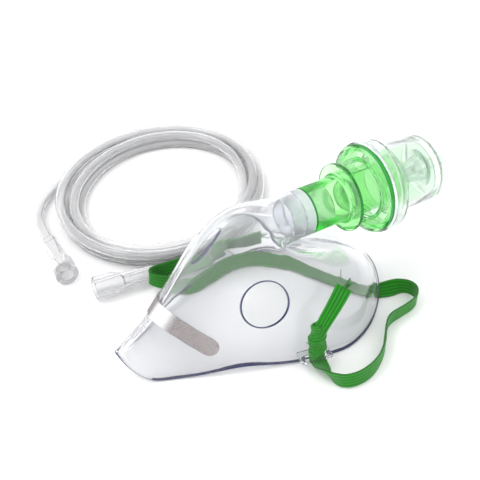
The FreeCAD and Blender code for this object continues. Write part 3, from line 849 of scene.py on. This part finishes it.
def fold_depth(points):
    """How far each corner is pushed out, in millimetres: flutes and creases."""
    x, y, z = (points / MM).T
    side = np.abs(y)
    flutes = np.sin((side - 0.2 * (x + 91)) * 0.62) * bell(x + 72, 15) * bell(side - 11, 8)
    ridge = bell(side, 3.0) * bell(x + 66, 16)
    corner = bell(x + 4, 9) * bell(z - 36, 7) * bell(side - 6, 9)
    creases = np.sin(1.35 * (z + 0.5 * x) + 0.4 * side) * corner
    waves = np.sin(x * 0.11 + 1.0) * np.sin(side * 0.16) * bell(z - 22, 14)
    lip = bell(z - 1.2 - np.array([rim_height(along) for along in x]), 1.3)
    return 0.32 * flutes + 0.3 * ridge + 0.55 * creases + 0.25 * waves + 0.5 * lip


def push_out(obj, depth):
    """Move each corner along its normal; depth is in millimetres."""
    points = corners(obj)
    normals = np.empty(points.size)
    obj.data.vertices.foreach_get("normal", normals)
    move_corners(obj, points + normals.reshape(-1, 3) * depth * MM)
    return obj


def folded_cage():
    """The mask's surface, without a thickness yet."""
    surface = cage()
    return push_out(surface, fold_depth(corners(surface))[:, None])


# %% [markdown]
# Solidify gives the surface its wall. The narrow rim of the wall, and the first row of faces
# above it, get the painted shade of a cut edge.

# %% The wall
WALL = 1.35 * MM
mask = folded_cage()
mask.name = "face_mask"
for finish in (SOFT_VINYL, CUT_EDGE_SHADE):
    mask.data.materials.append(finish)
applied(add(mask, "SOLIDIFY", thickness=WALL, offset=-1, material_offset_rim=1))
# Faces along the rim get the cut edge's painted shade.
for face in mask.data.polygons:
    above_rim = face.center.z - rim_height(face.center.x / MM) * MM
    face.material_index = int(above_rim < EDGE_LINE)
report(mask)


# %% [markdown]
# The exhalation holes are punched with a cylinder through each cheek. The ears are flat
# tabs with a slot, melted onto the rim, so they are joined by a boolean as well.

# %% Holes and ears
def boolean(target, tool, operation):
    """Cut a tool out of a piece, or join it to it; the tool is used up."""
    add(target, "BOOLEAN", object=tool, operation=operation, solver="EXACT",
        material_mode="TRANSFER")
    applied(target)
    bpy.data.objects.remove(tool)
    return target


def punch(side):
    """A cylinder square to one cheek, carrying the cut edge's painted shade."""
    outward = Vector((-0.15, side * 0.83, 0.53)).normalized()
    middle = Vector((-30.5, side * 25, 30)) * MM
    bpy.ops.mesh.primitive_cylinder_add(vertices=96, radius=VENT_RADIUS, depth=26 * MM,
                                        location=middle,
                                        rotation=outward.to_track_quat("Z", "Y").to_euler())
    punched = bpy.context.active_object
    punched.data.materials.append(CUT_EDGE_SHADE)
    return punched


def block(size, middle=(0, 0, 0)):
    """A block with this size and middle, in millimetres."""
    bpy.ops.mesh.primitive_cube_add(size=1)
    cube = bpy.context.active_object
    cube.scale = Vector(size) * MM
    cube.location = Vector(middle) * MM
    return applied(cube)


def ear(side):
    """A rounded tab with a slot, beside the rim."""
    tab = block((15, 7.4, 1.6))
    tab.data.materials.append(SOFT_VINYL)
    applied(add(tab, "BEVEL", width=0.45 * MM, segments=3, limit_method="NONE"))
    boolean(tab, block((10, 2.4, 6), (0, side * 0.8, 0)), "DIFFERENCE")
    tab.rotation_euler = (0, 0, side * math.radians(13))
    tab.location = (EAR_X * MM, side * 41.7 * MM, 4.8 * MM)
    return applied(tab)


for side in (-1, 1):
    boolean(mask, punch(side), "DIFFERENCE")
    boolean(mask, ear(side), "UNION")
report(smooth(mask, 38))


# %% [markdown]
# ## The nose strip
# A stamped strip with round ends lies over the bridge. It is cut from the mask's own folded
# surface, moved out a little, so that it follows the bridge exactly.

# %% Strip
STRIP_WIDE, STRIP_LONG, STRIP_END = 8, 18.3, 4
STRIP_PLACE, STRIP_LEAN = Vector((-70.2, 0, 26.1)) * MM, math.radians(40)


def strip_stamp():
    """A bar across the bridge with a round end, wide enough to cut through both flanks."""
    stamp = block((52, 120, STRIP_WIDE), (STRIP_LONG - 26, 0, 0))
    bpy.ops.mesh.primitive_cylinder_add(vertices=64, radius=STRIP_END * MM, depth=120 * MM,
                                        location=(STRIP_LONG * MM, 0, 0),
                                        rotation=(math.pi / 2, 0, 0))
    boolean(stamp, applied(bpy.context.active_object), "UNION")
    stamp.rotation_euler = (0, STRIP_LEAN, 0)
    stamp.location = STRIP_PLACE
    return applied(stamp)


def nose_strip():
    strip = push_out(folded_cage(), 0.15)
    strip.name = "nose_strip"
    applied(add(strip, "SOLIDIFY", thickness=0.6 * MM, offset=1))
    boolean(strip, strip_stamp(), "INTERSECT")
    add(strip, "BEVEL", width=0.12 * MM, segments=2, limit_method="ANGLE",
        angle_limit=math.radians(50))
    smooth(applied(strip), 40)
    return report(dress(strip, ALUMINIUM))


strip = nose_strip()


# %% [markdown]
# ## Turned parts
# The nebuliser and the connectors are all turned shapes. A cylinder would need an edit for
# every step in it. Instead each is drawn as one closed half section, by extruding a lone
# vertex from point to point, and is then spun about its axis.

# %% Spin a half section
def turned(name, section, material, steps=112):
    """Spin a closed section of (station, radius) in millimetres about the nebuliser's axis."""
    outline = [Vector((station, 0, PORT_HEIGHT + radius)) * MM for station, radius in section]
    bpy.ops.mesh.primitive_plane_add(size=1)
    part = bpy.context.active_object
    part.name = name
    bpy.ops.object.mode_set(mode="EDIT")
    bpy.ops.mesh.select_all(action="SELECT")
    bpy.ops.mesh.merge(type="CENTER")
    bpy.ops.transform.translate(value=outline[0])
    for here, there in zip(outline, outline[1:] + outline[:1]):
        bpy.ops.mesh.extrude_region_move(TRANSFORM_OT_translate={"value": there - here})
    bpy.ops.mesh.select_all(action="SELECT")
    bpy.ops.mesh.remove_doubles(threshold=0.005 * MM)
    bpy.ops.mesh.spin(steps=steps, angle=2 * math.pi, center=(0, 0, PORT_HEIGHT * MM),
                      axis=(1, 0, 0))
    bpy.ops.mesh.select_all(action="SELECT")
    bpy.ops.mesh.remove_doubles(threshold=0.005 * MM)
    bpy.ops.mesh.normals_make_consistent(inside=False)
    bpy.ops.object.mode_set(mode="OBJECT")
    add(part, "BEVEL", width=0.22 * MM, segments=2, limit_method="ANGLE",
        angle_limit=math.radians(35))
    smooth(applied(part), 30)
    return report(dress(part, material))


# %% The adaptor and the sleeve
ADAPTOR = [
    (-4, 7.9), (-4, 9.0), (-3.4, 9.2), (2.2, 9.2), (2.2, 10.7), (2.5, 11), (6.8, 11),
    (7.1, 10.7), (7.1, 9.3), (17.9, 9.3), (18.5, 9.0), (18.5, 7.9)]
SLEEVE = [(40.9, 13.2), (40.9, 14.85), (43.0, 14.85), (43.5, 14.35), (73.7, 14.35), (73.7, 13.2)]
adaptor = turned("swivel_adaptor", ADAPTOR, MILKY)
sleeve = turned("baffle_tube", SLEEVE, PALE_GREEN)

# %% [markdown]
# The lid is one green moulding, made from a turned tube with its shoulder, a flange with a
# skirt, two ribs and an impact bar. The ribs leave wide windows for room air.

# %% The green lid
LID_TUBE = [
    (7.3, 9.6), (7.3, 10.8), (7.5, 11), (25.2, 11), (25.9, 11.5), (26.3, 12.2), (27.6, 12.2),
    (27.6, 16.3), (27.8, 16.5), (29.0, 16.5), (29.2, 16.3), (29.2, 11.4), (30.2, 11),
    (59.5, 10.8), (59.5, 9.6)]
LID_FLANGE = [
    (40.7, 14.9), (40.7, 20.4), (41.1, 21.3), (41.7, 21.6), (43.2, 21.6), (43.2, 19.6),
    (49.7, 19.6), (49.7, 18.1), (43.2, 18.1), (43.2, 14.9)]
RIB_START, RIB_LONG, RIB_RADIUS = 28.4, 12.7, 16.45


def lid_rib(side):
    """One rib between shoulder and flange, a curved slab with rounded edges."""
    bpy.ops.mesh.primitive_grid_add(x_subdivisions=12, y_subdivisions=8, size=1)
    rib = bpy.context.active_object
    points = corners(rib)
    turn = points[:, 1] * 2 * math.asin(5 / 16.5)
    station = RIB_START + (points[:, 0] + 0.5) * RIB_LONG
    height = PORT_HEIGHT + side * RIB_RADIUS * np.cos(turn)
    move_corners(rib, np.stack([station, RIB_RADIUS * np.sin(turn), height], 1) * MM)
    add(rib, "SOLIDIFY", thickness=1.55 * MM, offset=-side)
    add(rib, "BEVEL", width=0.2 * MM, segments=2, limit_method="ANGLE",
        angle_limit=math.radians(50))
    return applied(rib)


def impact_bar():
    """The bar in the stream of mist, on which large drops burst."""
    bar = block((1.6, 2.6, 20.4), (57.1, 0, PORT_HEIGHT))
    return applied(add(bar, "BEVEL", width=0.3 * MM, segments=2))


def green_lid():
    tube = turned("lid", LID_TUBE, GREEN_RIGID)
    flange = turned("lid_flange", LID_FLANGE, GREEN_RIGID)
    whole = joined("green_lid", [flange, impact_bar(), lid_rib(-1), lid_rib(1), tube])
    return report(smooth(dress(whole, GREEN_RIGID), 30))


lid = green_lid()


# %% [markdown]
# The medicine cup has three thread arcs outside its collar, a floor that slopes to the jet
# post, and a skirt that hides the air inlet. The jet cap sits over the post.

# %% Cup and jet cap
CUP = [
    (43.5, 20.0), (43.5, 21.8), (44.0, 22.3), (49.9, 22.3), (50.7, 22.0), (51.5, 21.3),
    (52.3, 19.4), (53.0, 17.4), (53.8, 16.7), (55, 16.5), (90.6, 16.5), (91, 16.1),
    (91, 15.3), (90.8, 15.1), (77.5, 15.1), (77.1, 3.95), (78.5, 2.75), (87.8, 2.75),
    (89, 2.25), (89, 1.5), (66, 1.5), (62.6, 0.6), (62, 0.6), (62, 2.0), (74.5, 3.8),
    (76, 15.1), (54.2, 15.1), (52.6, 15.3), (51.4, 17.2), (50.7, 19.6)]
JET_CAP = [
    (60.4, 0.8), (60.4, 3.0), (61.5, 3.7), (72.6, 6.1), (73.6, 8.6), (74.4, 8.6), (74.4, 4.7),
    (61.6, 2.5), (61.6, 0.8)]
THREAD_RADIUS, THREAD_START, THREAD_CLIMB, THREAD_STEPS = 22.2, 46.0, 2.6, 12


def thread_arc(start):
    """A raised thread that climbs a little, on part of a turn."""
    route = []
    for k in range(THREAD_STEPS + 1):
        turn = start + 0.13 * k
        route.append((THREAD_START + THREAD_CLIMB * k / THREAD_STEPS,
                      THREAD_RADIUS * math.sin(turn),
                      PORT_HEIGHT + THREAD_RADIUS * math.cos(turn)))
    line = nurbs_line("thread", route)
    line.data.bevel_depth = 0.45 * MM
    line.data.bevel_resolution = 2
    line.data.use_fill_caps = True
    only(line)
    bpy.ops.object.convert(target="MESH")
    return bpy.context.active_object


def medicine_cup():
    cup = turned("cup", CUP, CLEAR_RIGID)
    whole = joined("clear_cup", [*[thread_arc(start) for start in (0.2, 2.3, 4.4)], cup])
    return report(smooth(dress(whole, CLEAR_RIGID), 30))


cup = medicine_cup()
jet_cap = turned("jet_cone", JET_CAP, CLEAR_RIGID, 64)

# %% [markdown]
# ## Funnel connectors
# Each end of the tube goes into a soft funnel: a wide mouth, a step and a narrow sleeve. It
# is turned on the nebuliser's axis and then laid along its tube.

# %% Connectors
MOUTH_A, MOUTH_B, MOUTH_HEIGHT = (-84.3, 67.6), (-77.6, 51.4), 5.9
FUNNEL = [
    (0, 3.0), (0, 5.35), (0.4, 5.75), (9.5, 5.75), (10.4, 5.5), (12.6, 4.5), (13.5, 4.35),
    (23, 4.0), (23.5, 3.55), (31.2, 3.4), (31.5, 3.2), (31.5, 2.0), (15, 1.7), (14, 3.0)]


def connector(name, mouth, inner_end):
    part = turned(name, FUNNEL, TUBE_VINYL, 72)
    heading = math.atan2(inner_end[1] - mouth[1], inner_end[0] - mouth[0])
    only(part)
    bpy.ops.transform.translate(value=(0, 0, -PORT_HEIGHT * MM))
    bpy.ops.object.transform_apply(location=True)
    part.rotation_euler = (0, 0, heading)
    part.location = Vector((*mouth, MOUTH_HEIGHT)) * MM
    return report(applied(part))


funnel_a = connector("funnel_a", MOUTH_A, TAIL_A[-1])
funnel_b = connector("funnel_b", MOUTH_B, TAIL_B[0])

# %% [markdown]
# ## The pieces on their bodies
# Each piece rides on the body that moves it, and the CAD solids that it stands for are
# hidden. The knots move with the mask, since its ears hold them.

# %% Bodies and stand-ins
PIECES = [
    (mask, "mask", "soft_vinyl", ["mask_shell"]),
    (strip, "mask", "nose_strip", ["nose_clip"]),
    (head_strap, "mask", "green_elastic", ["strap_near_loop", "strap_crossing", "strap_far_loop"]),
    (near_knot, "mask", "green_elastic", ["near_knot", "near_tail"]),
    (far_knot, "mask", "green_elastic", ["far_knot", "far_tail"]),
    (adaptor, "adaptor", "clear_plastic", ["port_adaptor"]),
    (lid, "lid", "green_plastic", ["neb_lid"]),
    (sleeve, "lid", "pale_green_plastic", ["baffle_sleeve"]),
    (jet_cap, "jet", "pale_green_plastic", ["jet_cap"]),
    (cup, "cup", "clear_plastic", ["medicine_cup"]),
    (air_tube, "tubing", "tube_vinyl", ["tube_coil", "tube_tail_a", "tube_tail_b"]),
    (funnel_a, "tubing", "connector_vinyl", ["connector_a"]),
    (funnel_b, "tubing", "connector_vinyl", ["connector_b"])]
for piece, body, slot, nodes in PIECES:
    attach(piece, body)
    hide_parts(*nodes)

length_of(tube_path)
length_of(strap_path)
